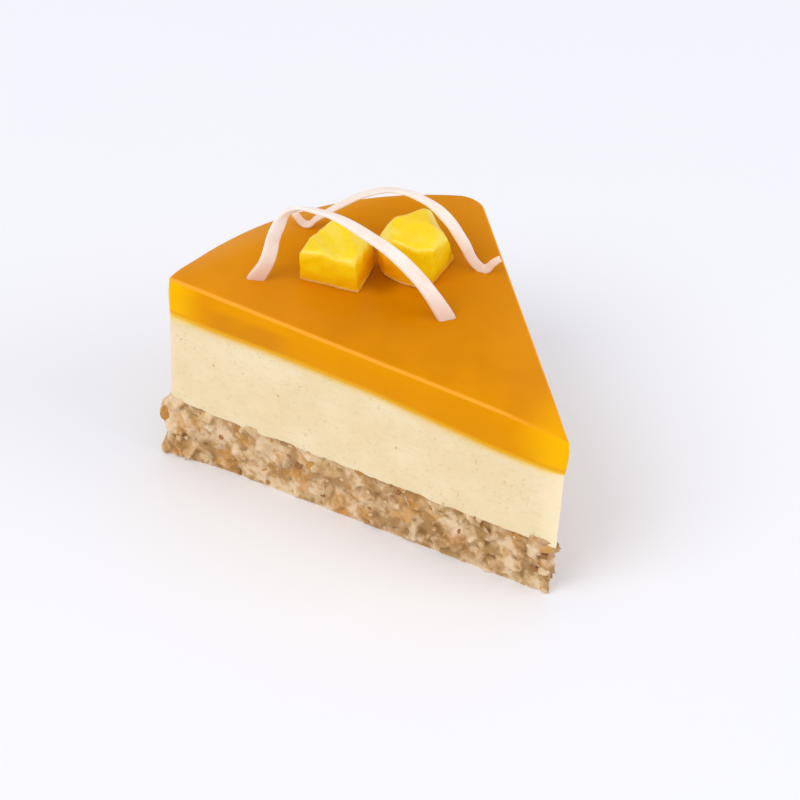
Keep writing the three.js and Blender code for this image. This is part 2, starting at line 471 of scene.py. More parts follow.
jelly = {
    "step": 0.8,  # of the outline, mm
    "row": 0.8,
    "topRow": 1.6,
    "edgeRound": 0.9,
    "edgeSegments": 4,
    # lines across the top, along which it rises and dips: mm in from the left cut, and mm from the tip
    "linesInwards": (1.6, 4, 8, 13, 18, 24, 34, 46, 58, 70),
    "linesOutwards": (4, 8, 14, 22, 40, 60, 72, 80, 86, 90, 94, 97, 100, 102.5),
    "wave": 0.1,  # unevenness of the walls, mm
    "bulge": 0.45,  # of the soft sides at half their height, mm
    "raised": 0.45,  # of the top along the left cut, fading within 24 mm
    "tipDip": 0.6,  # of the top towards the tip
    "rimDip": 0.75,  # of the top's last few millimetres before the rim
    # how far the lower edge lies over the cream's top along the left cut: (mm from the tip, mm)
    "lowerEdge": [(0, -0.8), (4, -1.4), (18, -1.3), (30, -0.6), (38, 0.0), (50, 0.75), (75, 0.8),
                  (92, 0.3), (105, 0.2)],
    "top": ink(219, 138, 0),
    "topLight": ink(230, 148, 2),
    "tipLight": ink(246, 172, 4),
    # painted reflection on the top, painted shade round the fruit and a painted shadow between the cubes
    "reflectionVeil": ink(222, 142, 34),
    "rimReflection": ink(228, 158, 74),
    "fruitShade": ink(190, 112, 0),
    "shadow": ink(150, 84, 0),
    "fruitAt": (3, 67, 52),  # the middle of the two cubes, from the tip, mm
    "side": ink(236, 156, 0),
    "sideDark": ink(228, 147, 0),
    "sideLight": ink(253, 186, 0),
    "sideDeep": ink(214, 134, 14),
    # painted highlight along the rounded top edge
    "edge": ink(253, 174, 56),
    "bottomEdge": ink(242, 180, 38),
    "bottomLight": ink(255, 202, 60),
}


def overSeam(finish):
    # millimetres above the wavy seam between the jelly and the cream
    length, low, high = cake["leftSide"], -2.0, 2.0
    stops = [(gone / length, ((lift - low) / (high - low),) * 3 + (1,))
             for gone, lift in jelly["lowerEdge"]]
    gone = finish.along(wedge.left) * (1 / length)
    wave = finish.node("ValToRGB", {"stops": stops}, {"Fac": gone}) * (high - low) + low
    inwards = finish.along(-wedge.leftOut)
    return finish.level() - cake["creamTop"] - wave * finish.grade(inwards, 2.5, 0.5)


def jellyFinish():
    finish = Finish("mangoJelly", IOR=1.36, Specular_IOR_Level=0.06, Subsurface_Weight=0.1,
                    Subsurface_Radius=(1.0, 0.45, 0.08), Subsurface_Scale=0.004)
    level = overSeam(finish)
    fromTip = finish.along(wedge.left)
    up = finish.grade(finish.facing(), 0.35, 0.9)
    clouds = finish.noise(22, 3, 0.55)
    fine = finish.noise(5, 3, 0.6)
    top = finish.over(jelly["top"], (clouds, 0.35, 0.65, 1, jelly["topLight"]))
    # Painted reflection makes it paler towards the rim and the two cuts; painted shade and reflection
    # darken it round the fruit, a painted shadow lies between the cubes, and painted light brightens the
    # thin tip
    back = finish.along((0, 1, 0))
    inLeft, inRight = finish.along(-wedge.leftOut), finish.along(-wedge.rightOut)
    beside = finish.grade(inRight, 16, 3) + finish.grade(inLeft, 26, 8) * finish.grade(back, 52, 76)
    top = finish.mix(beside * 0.3, top, jelly["reflectionVeil"])
    top = finish.over(top, (back, 91, 102, 0.6, jelly["rimReflection"]),
                      (finish.away(jelly["fruitAt"]), 40, 14, 0.5, jelly["fruitShade"]),
                      (finish.away(cake["betweenFruit"]), 7, 1.5, 0.75, jelly["shadow"]),
                      (fromTip, 16, 2, 1, jelly["tipLight"]))
    # Light gathers in the upright corners and at the foot of the side
    glow = 1 - (1 - finish.grade(fromTip, 15, 1)) * (1 - finish.grade(fromTip, 94, 104))
    side = finish.over(jelly["side"], (clouds, 0.3, 0.7, 1, jelly["sideDark"]))
    # A deep blotch in the left third of the long cut
    blotch = finish.grade(fromTip, 68, 78) * finish.grade(fromTip, 101, 92) * finish.grade(level, 7.4, 5.2)
    broken = finish.grade(finish.noise(13, 1, 0.4), 0.3, 0.6)
    side = finish.mix(blotch * broken * 0.75, side, jelly["sideDeep"])
    side = finish.mix(glow * finish.grade(level, 0.6, 2.2), side, jelly["sideLight"])
    foot = finish.mix(glow, jelly["bottomEdge"], jelly["bottomLight"])
    colour = finish.mix(up, finish.over(side, (level, 1.6, 0.0, 1, foot)), top)
    # A painted highlight along the rounded top edge, which is thin and lets light through, most of all in
    # the middle of the cut
    rounded = finish.grade(finish.facing(), 0.2, 0.5) * finish.grade(finish.facing(), 0.97, 0.8)
    colour = finish.mix(rounded * finish.grade(fromTip, 5, 20) * 0.8, colour, jelly["edge"])
    return finish.complete(colour, finish.grade(fine, 0.2, 0.8) * 0.08 + 0.13,
                           finish.noise(6, 2, 0.5) + finish.noise(1.4, 2, 0.5) * 0.12, 0.06)


def isFlatTop(face):
    return face.normal.z > 0.99 and face.calc_center_median().z > cake["jellyTop"] * mm - hair


def roundTopEdge(piece):
    top, rounding, segments = cake["jellyTop"] * mm, jelly["edgeRound"] * mm, jelly["edgeSegments"]
    pick(piece, "FACE", isFlatTop)
    bpy.ops.mesh.dissolve_faces()
    # The top's outer edge, where the wall's last row meets the flat
    pick(piece, "EDGE", lambda e: all(abs(v.co.z - top) < hair for v in e.verts)
         and any(abs(v.co.z - top) > hair for f in e.link_faces for v in f.verts))
    bpy.ops.mesh.bevel(offset=rounding, offset_type="OFFSET", segments=segments, profile=0.5,
                       affect="EDGES", clamp_overlap=False)
    # Behind the tip, where the rounded edges of the two cuts meet, their two inner rows run into one point
    for row in (segments - 1, segments):
        turn = pi / 2 * row / segments
        height = top - rounding * (1 - sin(turn))
        meeting = wedge.tip.y + rounding * (1 - cos(turn)) / sin(radians(cake["tipAngle"] / 2))
        pick(piece, "VERT", lambda v: abs(v.co.z - height) < hair and v.co.y < meeting)
        bpy.context.scene.cursor.location = (wedge.tip.x, meeting, height)
        bpy.ops.mesh.merge(type="CURSOR")
    bpy.context.scene.cursor.location = (0, 0, 0)


def layLine(piece, point, outward):
    pick(piece, "FACE", isFlatTop)
    bpy.ops.mesh.bisect(plane_co=point, plane_no=outward)


def makeJelly():
    piece = layer("jellyLayer", cake["creamTop"], cake["jellyTop"], jelly["step"], jelly["row"],
                  jelly["topRow"])
    onlyThis(piece)
    mode("EDIT")
    roundTopEdge(piece)
    for inwards in jelly["linesInwards"]:
        layLine(piece, wedge.tip - wedge.leftOut * inwards * mm, wedge.leftOut)
    for gone in jelly["linesOutwards"]:
        layLine(piece, wedge.tip + wedge.left * gone * mm, wedge.left)
    mode("OBJECT")
    raiseRim(piece)
    walls = weigh(piece, "walls", lambda v: onWall(v)
                  * ease(levelOf(v), cake["jellyTop"], cake["jellyTop"] - 1.5)
                  * ease(levelOf(v), cake["creamTop"], cake["creamTop"] + 1.2))
    emboss(piece, "jellyWave", 9, jelly["wave"], walls, 0.62, noise_depth=1)
    nudge(piece, settle)
    finishMesh(piece, 50)
    dress(piece, jellyFinish(), "jelly", "jelly")
    print("jelly", len(piece.data.polygons))


def settle(place):
    # The jelly's own set: sides that bulge, a top that rises to the left cut and a wavy lower edge
    level, (gone, inwards) = levelOf(place), fromCut(place)
    out, outward = outFromWall(place)
    share = (level - cake["creamTop"]) / (cake["jellyTop"] - cake["creamTop"])
    rind = ease(out / mm, -1.2, -0.2)
    push = outward * jelly["bulge"] * max(0.0, 1 - (2 * share - 1) ** 2) * rind
    lift = jelly["raised"] * ease(inwards, 24, 0) * ease(gone, 1, 14) * ease(share, 0.3, 1)
    lift -= jelly["tipDip"] * ease(gone, 22, 0) * ease(share, 0.3, 1)
    toRim = (wedge.radius - (place.xy - wedge.centre.xy).length) / mm
    lift -= jelly["rimDip"] * ease(toRim, 6, 1) * ease(inwards, 2, 12) * ease(share, 0.3, 1)
    lift += seamLift(gone, inwards) * ease(share, 0.45, 0)
    return push.x, push.y, lift


def seamLift(gone, inwards):
    # how far the seam at the left cut lies over its even height, mm
    return between(jelly["lowerEdge"], gone) * ease(inwards, 2.5, 0.5)


# Cream

cream = {
    "step": 0.55,  # of the outline, mm
    "row": 0.55,
    "lap": 0.8,  # how far it reaches down into the crumb
    "unevenness": 0.28,
    "pores": 0.16,
    "lowerEdge": 1.1,  # how far its lower edge wanders, mm
    "body": ink(238, 217, 172),
    "light": ink(244, 226, 186),
    "warm": ink(232, 202, 148),
    "underJelly": ink(242, 190, 76),
    "underJellyEnd": ink(255, 210, 98),
    "tip": ink(255, 236, 196),
    "pore": ink(214, 186, 134),
    "speck": ink(222, 156, 66),
}


def creamFinish():
    finish = Finish("setCream", IOR=1.4, Subsurface_Weight=0.15, Subsurface_Radius=(1.0, 0.7, 0.4),
                    Subsurface_Scale=0.003)
    fromTip = finish.along(wedge.left)
    dragged = finish.noise(1.1, 4, 0.6, finish.stretched((0.4, 0.4, 1.2)))
    body = finish.over(cream["body"], (finish.noise(14, 4, 0.6), 0.35, 0.68, 1, cream["light"]),
                       (dragged, 0.5, 0.72, 0.35, cream["warm"]))
    # Fine open pores, thicker in some places than in others
    pore = finish.grade(finish.noise(0.75, 2, 0.5), 0.6, 0.74)
    pore = pore * finish.grade(finish.noise(6, 3, 0.6), 0.4, 0.6)
    body = finish.mix(pore * 0.35, body, cream["pore"])
    # The jelly has stained the cream just under it
    seam = overSeam(finish)
    ends = finish.grade(fromTip, 15, 1) + finish.grade(fromTip, 94, 104)
    stain = finish.mix(ends, cream["underJelly"], cream["underJellyEnd"])
    body = finish.over(body, (seam, -2.6, -0.9, 0.3, stain), (seam, -1.5, 0.0, 0.92, stain),
                       # painted light: lighter towards the thin tip
                       (fromTip, 7, 0.5, 0.7, cream["tip"]),
                       (finish.cells(6.5), 0.075, 0.045, 0.7, cream["speck"]))
    return finish.complete(body, finish.grade(dragged, 0.3, 0.8) * 0.2 + 0.5,
                           dragged * 0.5 - pore * 0.8 + finish.noise(0.7, 3, 0.6) * 0.4, 0.12)


def makeCream():
    piece = layer("creamLayer", cake["creamBottom"] - cream["lap"], cake["creamTop"], cream["step"],
                  cream["row"])
    raiseRim(piece)
    walls = weigh(piece, "walls", lambda v: onWall(v)
                  * ease(levelOf(v), cake["creamTop"], cake["creamTop"] - 1.2))
    emboss(piece, "creamSwell", 8, cream["unevenness"], walls, 0.8, noise_depth=2)
    emboss(piece, "creamPores", 1.6, cream["pores"], walls, 0.7, noise_depth=3, contrast=1.6)
    foot = weigh(piece, "foot", lambda v: ease(levelOf(v), 18, 15.4))
    emboss(piece, "creamFoot", 3.5, cream["lowerEdge"], foot, 0.8, "Z", noise_depth=3, contrast=1.5)
    # Its upper edge follows the jelly's lower one, which isn't straight
    nudge(piece, lambda v: (0, 0, seamLift(*fromCut(v)) * ease(levelOf(v), 30, cake["creamTop"])))
    finishMesh(piece, 50)
    dress(piece, creamFinish(), "cream", "cream")
    print("cream", len(piece.data.polygons))


# Crumb base

crumb = {
    "step": 1.4,  # of the core's outline, mm
    "row": 1.6,
    "inset": 1.0,  # of the plain core behind the lumps, mm
    "voxel": 0.45,
    "chunks": 0.35,  # depth of the gaps between chopped nuts
    "relief": 0.4,
    "grit": 0.1,
    "tilt": 0.3,  # how far the pressed faces lean from the wall
    "pressed": 0.88,  # share of what stood out that the knife pressed in
    "cornerBulge": 3.2,  # how far the base spreads at the left rim corner, and how far along that reaches
    "cornerReach": 16,
    "seed": 11,
    "colours": [(204, 164, 112), (190, 146, 88), (222, 190, 140), (214, 180, 144), (178, 132, 72),
                (232, 204, 160), (206, 152, 84), (198, 156, 104), (238, 214, 176), (186, 140, 92)],
    "light": ink(240, 214, 176),
    "deep": ink(160, 116, 54),
    "creviceShade": ink(124, 86, 36),
    "resin": ink(204, 142, 54),
    "patch": 5.5,  # size of a chopped nut's cut face, mm
    "patches": [(0.0, ink(186, 142, 82)), (0.22, ink(214, 178, 122)), (0.4, ink(232, 206, 162)),
                (0.52, ink(206, 168, 134)), (0.64, ink(190, 144, 80)), (0.76, ink(206, 148, 68)),
                (0.88, ink(230, 200, 150)), (1.0, ink(164, 118, 60))],
    # each kind of bit: how far apart, size range, reach past the wall (all mm) and colours
    "bits": {
        "lumps": (4.8, (2.2, 4.8), (-0.8, 0.6), None),
        "smallLumps": (3.8, (1.2, 2.6), (-0.9, 0.5), None),
        "rolledOats": (10.0, (1.9, 3.0), (-1.1, 0.0), [(222, 192, 144), (214, 180, 128), (226, 198, 154)]),
        "goldenBits": (10.0, (1.6, 2.8), (-1.3, -0.35), [(206, 152, 74), (214, 164, 88), (192, 136, 60)]),
        "paleChips": (9.0, (1.2, 2.5), (-1.2, -0.2), [(236, 212, 176), (216, 184, 152), (226, 196, 152)]),
        "branBits": (15, (0.6, 1.4), (-0.9, -0.1), [(160, 110, 62), (170, 118, 66), (148, 100, 54)]),
        "fineCrumbs": (5.0, (0.25, 0.6), (-0.3, 0.5), [(216, 182, 134), (202, 162, 110), (222, 194, 150)]),
    },
}


def template(make, *steps):
    # One small closed shape as arrays, ready to be copied
    clearSelection()
    make()
    piece = newPiece("template")
    mode("EDIT")
    selectAll()
    for step in steps:
        step(piece)
    bpy.ops.mesh.select_mode(type="FACE")
    selectAll()
    bpy.ops.mesh.quads_convert_to_tris()
    bpy.ops.mesh.normals_make_consistent(inside=False)
    mode("OBJECT")
    points = np.array([v.co[:] for v in piece.data.vertices])
    faces = np.array([f.vertices[:] for f in piece.data.polygons])
    bpy.data.objects.remove(piece)
    return points, faces


def brokenNut(random):
    # a ball broken along flat faces
    def breakUp(piece):
        for _ in range(5):
            facing = Vector(random.normal(size=3)).normalized()
            cutAway(facing * random.uniform(0.5, 0.8), facing, True)
        selectAll()
        bpy.ops.transform.vertex_random(offset=0.05, seed=int(random.integers(1000)))
    return template(lambda: bpy.ops.mesh.primitive_ico_sphere_add(subdivisions=2, radius=1), breakUp)


def rolledOat(random):
    # a flat oval with the groove of a rolled oat
    def flatten(piece):
        bpy.ops.transform.resize(value=(1, 0.72, 0.26))
        pick(piece, "VERT", lambda v: abs(v.co.y) < 0.12 and v.co.z > 0.02)
        bpy.ops.transform.translate(value=(0, 0, -0.13))
        selectAll()
        bpy.ops.transform.vertex_random(offset=0.06, seed=int(random.integers(1000)))
    return template(lambda: bpy.ops.mesh.primitive_uv_sphere_add(segments=12, ring_count=7, radius=1),
                    flatten)


def softLump(random):
    # a ball pushed out of shape and smoothed
    def push(piece):
        bpy.ops.transform.vertex_random(offset=0.18, seed=int(random.integers(1000)))
        bpy.ops.mesh.vertices_smooth(factor=0.4)
    return template(lambda: bpy.ops.mesh.primitive_ico_sphere_add(subdivisions=2, radius=1), push)


def grain(random):
    # a rough speck
    def push(piece):
        bpy.ops.transform.vertex_random(offset=0.3, seed=int(random.integers(1000)))
    return template(lambda: bpy.ops.mesh.primitive_ico_sphere_add(subdivisions=1, radius=1), push)


def rimLength():
    # of the slice's rim, mm
    chord = (wedge.rightRim - wedge.leftRim).length / mm
    return 2 * asin(chord / 2 / cake["rimRadius"]) * cake["rimRadius"]


def wallSpot(gone):
    # a point of the outline and its outward way: up the left cut, round the rim, back down the right one
    if gone < cake["leftSide"]:
        return wedge.tip + wedge.left * gone * mm, wedge.leftOut
    gone -= cake["leftSide"]
    if gone < rimLength():
        start = wedge.leftRim - wedge.centre
        out = (Matrix.Rotation(-gone / cake["rimRadius"], 3, "Z") @ start).normalized()
        return wedge.centre + out * wedge.radius, out
    gone -= rimLength()
    return wedge.rightRim - wedge.right * gone * mm, wedge.rightOut


def lying(outward, random):
    # Flat bits lie along the wall: turned freely about its outward way and tipped a little off it
    spin = Quaternion(outward, random.uniform(0, 2 * pi))
    tip = Quaternion(Vector(random.normal(size=3)).normalized(), random.normal() * 0.45)
    return tip @ spin @ outward.to_track_quat("Z", "Y")


def cornerSpread(foot, level):
    # how far the base spreads at the left rim corner, most a third of the way up, mm
    near = max(0.0, 1 - (foot - wedge.leftRim).length / mm / crumb["cornerReach"])
    return near * crumb["cornerBulge"] * (1 - ((level / cake["creamBottom"] - 0.38) / 0.62) ** 2)


def spreadCore(place):
    # the core's share of that spread
    out, outward = outFromWall(place)
    rind = ease(out / mm, -2.2, -1.1)
    push = outward * cornerSpread(Vector((place.x, place.y, 0)), levelOf(place)) * rind * 0.85
    return push.x, push.y, 0


def setBit(templates, sizes, reaches, gone, level, random):
    # One bit turned freely and set into the wall, as points and faces
    foot, outward = wallSpot(gone)
    size = random.uniform(*sizes)
    reach = random.uniform(*reaches) + cornerSpread(foot, level)
    place = np.array(foot + outward * (reach - size * random.uniform(0.35, 0.8)) * mm)
    place[2] = heightAt(level, foot.y)
    shape, faces = templates[int(random.integers(len(templates)))]
    stretch = random.uniform((0.9, 0.6, 0.5), (1.5, 1.0, 0.85))
    turn = np.array(lying(outward, random).to_matrix())
    points = (shape * stretch * size * mm) @ turn.T + place
    # The knife and the tin pressed what stood out nearly level with the wall
    foot, out = np.array(foot), np.array(outward)
    press = out + random.normal(size=3) * crumb["tilt"]
    press /= np.linalg.norm(press)
    over = np.maximum((points - place) @ press - reach * mm + (place - foot) @ out, 0)
    points -= np.outer(over * crumb["pressed"], press)
    for facing in (wedge.leftOut, wedge.rightOut):
        past = np.maximum((points - np.array(wedge.tip)) @ np.array(facing) - (reach + 0.2) * mm, 0)
        points -= np.outer(past * 0.9, facing)
    # Under the cream's overhang the upper side of what stands out slopes away
    beyond = np.maximum((points - foot) @ out, 0)
    top = heightAt(cake["creamBottom"], foot[1]) - beyond * 0.9
    points[:, 2] = np.where(points[:, 2] > top, top + (points[:, 2] - top) * 0.3, points[:, 2])
    return points, faces


def scatter(name, random, templates):
    # Bits of one kind set all round the wall, in rows, each with its own shade
    spacing, sizes, reaches, colours = crumb["bits"][name]
    colours = colours or crumb["colours"]
    total = cake["leftSide"] + rimLength() + cake["rightSide"]
    columns, rows = round(total / spacing), max(2, round(cake["creamBottom"] / spacing))
    low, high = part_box("base")
    margin, highest = 0.03 * mm, 0.05
    low, high = np.array(low) + margin, np.array((high[0], high[1], highest)) - margin
    points, faces, tints, count = [], [], [], 0
    for column in range(columns):
        for row in range(rows):
            gone = (column + random.uniform(0.02, 0.98)) / columns * total
            level = (row + random.uniform(0.05, 0.95)) / rows * cake["creamBottom"]
            spots, corners = setBit(templates, sizes, reaches, gone, level, random)
            points.append(np.clip(spots, low, high))
            faces.append(corners + count)
            count += len(spots)
            colour = colours[int(random.integers(len(colours)))]
            shade = random.uniform(0.9, 1.08)
            tints.append(np.tile([c * shade for c in ink(*colour)[:3]] + [1.0], (len(spots), 1)))
    mesh = bpy.data.meshes.new(name)
    mesh.from_pydata(np.vstack(points).tolist(), [], np.vstack(faces).tolist())
    tint = mesh.color_attributes.new("tint", "FLOAT_COLOR", "POINT")
    tint.data.foreach_set("color", np.vstack(tints).ravel())
    piece = addObject(name, mesh)
    onlyThis(piece)
    bpy.ops.object.shade_smooth_by_angle(angle=radians(38))
    return piece


def places(piece):
    # every vertex's place, one to a row
    flat = np.empty(len(piece.data.vertices) * 3)
    piece.data.vertices.foreach_get("co", flat)
    return flat.reshape(-1, 3)


def hollowness(piece):
    # how far each vertex lies below its surroundings, mm
    copy = addObject("levelled", piece.data.copy())
    bake(copy, "levelled", "SMOOTH", factor=0.9, iterations=14)
    normals = np.array([n.vector[:] for n in piece.data.vertex_normals])
    depth = ((places(copy) - places(piece)) * normals).sum(axis=1) / mm
    bpy.data.objects.remove(copy)
    return depth


def crumbFinish():
    finish = Finish("pressedCrumb", IOR=1.42, Subsurface_Weight=0.06, Subsurface_Scale=0.002)
    hollow = finish.attribute("hollow", "Fac")
    patches = finish.noise(6, 3, 0.5)
    fine = finish.noise(2, 3, 0.5)
    glaze = finish.noise(8, 3, 0.55)
    # Chopped nuts show as patches with ragged edges, each of its own shade, in two sizes
    ragged = finish.wander(2.2, 3.4)
    shades = [finish.node("SeparateColor", {}, {"Color": finish.cells(size, "Color", ragged)})
              for size in (crumb["patch"], crumb["patch"] * 0.45)]
    large, small = (finish.node("ValToRGB", {"stops": crumb["patches"]}, {"Fac": shade})
                    for shade in shades)
    colour = finish.mix(0.6, finish.attribute("tint"), finish.mix(0.4, large, small))
    # Mottling and resin are the crumb's own; the hollows are darkened by painted shade and what stands out
    # is lightened by a painted highlight
    colour = finish.over(
        colour, (patches, 0.51, 0.6, 0.7, crumb["light"]), (patches, 0.48, 0.39, 0.7, crumb["deep"]),
        (fine, 0.5, 0.75, 0.25, crumb["deep"]), (glaze, 0.55, 0.64, 0.6, crumb["resin"]),
        (hollow, 0.08, 0.45, 0.8, crumb["creviceShade"]), (hollow, -0.08, -0.3, 0.35, crumb["light"]))
    return finish.complete(colour, finish.grade(glaze, 0.3, 0.7) * -0.2 + 0.62,
                           fine + finish.noise(0.4, 3, 0.6) * 0.4, 0.16)


def bitFinish(name, rough, mottling):
    finish = Finish(name, IOR=1.42, Subsurface_Weight=0.06, Subsurface_Scale=0.002)
    fine = finish.noise(0.8, 4, 0.65)
    colour = finish.over(finish.attribute("tint"), (fine, 0.42, 0.75, mottling, crumb["deep"]),
                         (finish.noise(2.4, 2, 0.5), 0.5, 0.75, 0.4, crumb["light"]))
    return finish.complete(colour, finish.grade(fine, 0.3, 0.7) * 0.2 + rough, fine, 0.12)


def join(piece, other):
    onlyThis(piece)
    other.select_set(True)
    bpy.ops.object.join()


def shadeMap(piece):
    # every vertex's colour, and a tree that finds the vertices nearest to a place
    near = KDTree(len(piece.data.vertices))
    for vertex in piece.data.vertices:
        near.insert(vertex.co, vertex.index)
    near.balance()
    shades = np.empty(len(piece.data.vertices) * 4)
    piece.data.color_attributes["tint"].data.foreach_get("color", shades)
    return near, shades.reshape(-1, 4)


def roughen(core):
    # Gaps between the chopped nuts, their unevenness and fine grit, all within the solid's box
    for group in list(core.vertex_groups):
        core.vertex_groups.remove(group)
    walls = weigh(core, "walls",
                  lambda v: ease(outFromWall(v)[0] / mm, -4, -2) * ease(v.z / mm, 0.0, 0.6))
    emboss(core, "crumbChunks", 3.4, crumb["chunks"], walls, 1, kind="VORONOI", weight_1=-1, weight_2=1,
           noise_intensity=5)
    emboss(core, "crumbRelief", 3.6, crumb["relief"], walls, 0.6, noise_depth=3, contrast=1.6)
    emboss(core, "crumbGrit", 0.9, crumb["grit"], walls, 0.6, noise_depth=2, contrast=1.6)
    finishMesh(core, 70)
    low, high = (np.array(corner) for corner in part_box("base"))
    core.data.vertices.foreach_set("co", np.clip(places(core), low, high).ravel())


def tintCore(core, near, shades):
    # The mass keeps the colours of the lumps that went into it, and knows its hollows, where shade is
    # painted
    hollow = core.data.attributes.new("hollow", "FLOAT", "POINT")
    hollow.data.foreach_set("value", hollowness(core))
    for old in list(core.data.color_attributes):
        core.data.color_attributes.remove(old)
    tint = core.data.color_attributes.new("tint", "FLOAT_COLOR", "POINT")
    nearest = ([index for _, index, _ in near.find_n(v.co, 2)] for v in core.data.vertices)
    blend = [shades[pair].mean(axis=0) for pair in nearest]
    tint.data.foreach_set("color", np.array(blend).ravel())


def makeBase():
    random = np.random.default_rng(crumb["seed"])
    core = layer("pressedCrumb", 0, cake["creamBottom"], crumb["step"], crumb["row"])
    raiseRim(core)
    walls = weigh(core, "walls", onWall)
    bake(core, "drawIn", "DISPLACE", strength=-crumb["inset"] * mm, mid_level=0, vertex_group=walls)
    nudge(core, spreadCore)
    nuts = [brokenNut(random) for _ in range(7)]
    soft = [softLump(random) for _ in range(4)]
    lumps = scatter("lumps", random, nuts)
    join(lumps, scatter("smallLumps", random, nuts + soft[:2]))
    near, shades = shadeMap(lumps)
    # The lumps and the core become one pressed mass
    join(core, lumps)
    bake(core, "press", "REMESH", mode="VOXEL", voxel_size=crumb["voxel"] * mm)
    bake(core, "rub", "SMOOTH", factor=0.5, iterations=2)
    roughen(core)
    tintCore(core, near, shades)
    dress(core, crumbFinish(), "crumb", "base")
    print("base", len(core.data.polygons))
    # each kind of loose bit: its shapes, roughness and mottling
    kinds = {
        "rolledOats": ([rolledOat(random) for _ in range(3)], 0.58, 0.45),
        "goldenBits": (nuts, 0.3, 0.25),
        "paleChips": (nuts, 0.5, 0.45),
        "branBits": (soft, 0.5, 0.4),
        "fineCrumbs": ([grain(random) for _ in range(3)], 0.6, 0.4),
    }
    for name, (templates, rough, mottling) in kinds.items():
        bits = scatter(name, random, templates)
        dress(bits, bitFinish(name, rough, mottling), "crumb")
        print(name, len(bits.data.polygons))


# Mango cubes

mango = {
    "cubes": {
        "mango_left": {
            "middle": (-9.5, 75.7), "lift": 5.9,  # from the tip and above the jelly, mm
            # the way each knife cut faces (degrees round, degrees up) and its distance from the middle, mm
            "cuts": [(217, 1, 6), (303, 8, 6.6), (15, 8, 7.6), (72, 4, 7.6), (116, -5, 6.7),
                     (175, 78, 4.6), (314, 57, 5.1)],
            # a groove across the top: from, to, half its width and its depth
            "groove": ((-0.3, 8.5), (-3.2, -7.5), 3.0, 1.7),
            "body": ink(255, 216, 8), "deep": ink(252, 200, 0),
        },
        "mango_right": {
            "middle": (8.8, 68.2), "lift": 5.5,
            "cuts": [(212, 0, 9.1), (251, 0, 9.1), (296, 0, 7.0), (342, 20, 7.1), (88, 2, 5.8),
                     (109, 0, 7.5), (192, -5, 9.6), (165, -4, 9.7), (308, 81, 5.9), (140, 45, 9.2)],
            "groove": ((8, 6), (3, -8), 2.2, 0.9),
            "body": ink(255, 226, 14), "deep": ink(255, 212, 2),
        },
    },
    "block": 30,  # the fruit before it is cut, mm
    "edge": 1.3,  # width of the worn edges
    "grid": 0.33,
    "sunk": 0.1,  # how far it has sunk into the jelly
    "dents": 0.6,
    "skin": 0.05,
    "top": ink(255, 220, 16),
    "foot": ink(246, 182, 0),
    "amberShade": ink(248, 168, 0),
    "paleAndHighlight": ink(255, 236, 136),
    "juiceAndReflection": ink(250, 206, 132),
}


def mangoFinish(name):
    cube = mango["cubes"][name]
    finish = Finish(name + "Flesh", IOR=1.4, Subsurface_Weight=0.25, Subsurface_Radius=(1.0, 0.6, 0.1),
                    Subsurface_Scale=0.004)
    up = finish.grade(finish.facing(), 0.1, 0.85)
    flesh = finish.noise(4.5, 4, 0.6)
    threads = finish.noise(1.4, 2, 0.5, finish.stretched((1.0, 0.35, 0.5), 0.6))
    # The sides: mottled flesh, deeper orange at the foot, and painted shade in amber near the gap between
    # the cubes
    side = finish.over(cube["deep"], (flesh, 0.35, 0.65, 1, cube["body"]),
                       (finish.level(), 53.4, 49.4, 1, mango["foot"]),
                       (finish.away(cake["betweenFruit"]), 10, 3, 1, mango["amberShade"]))
    # Painted light: the top is lighter than the sides, with pale patches as a painted highlight
    top = finish.over(mango["top"], (flesh, 0.52, 0.72, 0.5, mango["paleAndHighlight"]))
    colour = finish.over(finish.mix(up, side, top), (threads, 0.6, 0.8, 0.12, mango["paleAndHighlight"]))
    # Painted highlight on the rounded edges, and at the foot a pale line that is partly juice and partly
    # painted reflection
    edges = finish.grade(finish.facing(), 0.3, 0.55) * finish.grade(finish.facing(), 0.93, 0.7)
    colour = finish.mix(edges * 0.3, colour, mango["paleAndHighlight"])
    colour = finish.over(colour, (finish.level(), 49.9, 49.5, 0.7, mango["juiceAndReflection"]))
    return finish.complete(colour, finish.grade(flesh, 0.3, 0.7) * 0.15 + 0.24,
                           threads * 0.3 + flesh * 0.6, 0.08)


def way(azimuth, elevation):
    turn, rise = radians(azimuth), radians(elevation)
    return Vector((cos(turn) * cos(rise), sin(turn) * cos(rise), sin(rise)))


def overJelly(flat, height):
    # the place at a height over the jelly's even top, all from the tip in millimetres
    x, y = wedge.tip.x + flat[0] * mm, wedge.tip.y + flat[1] * mm
    return Vector((x, y, heightAt(cake["jellyTop"], y) + height * mm))


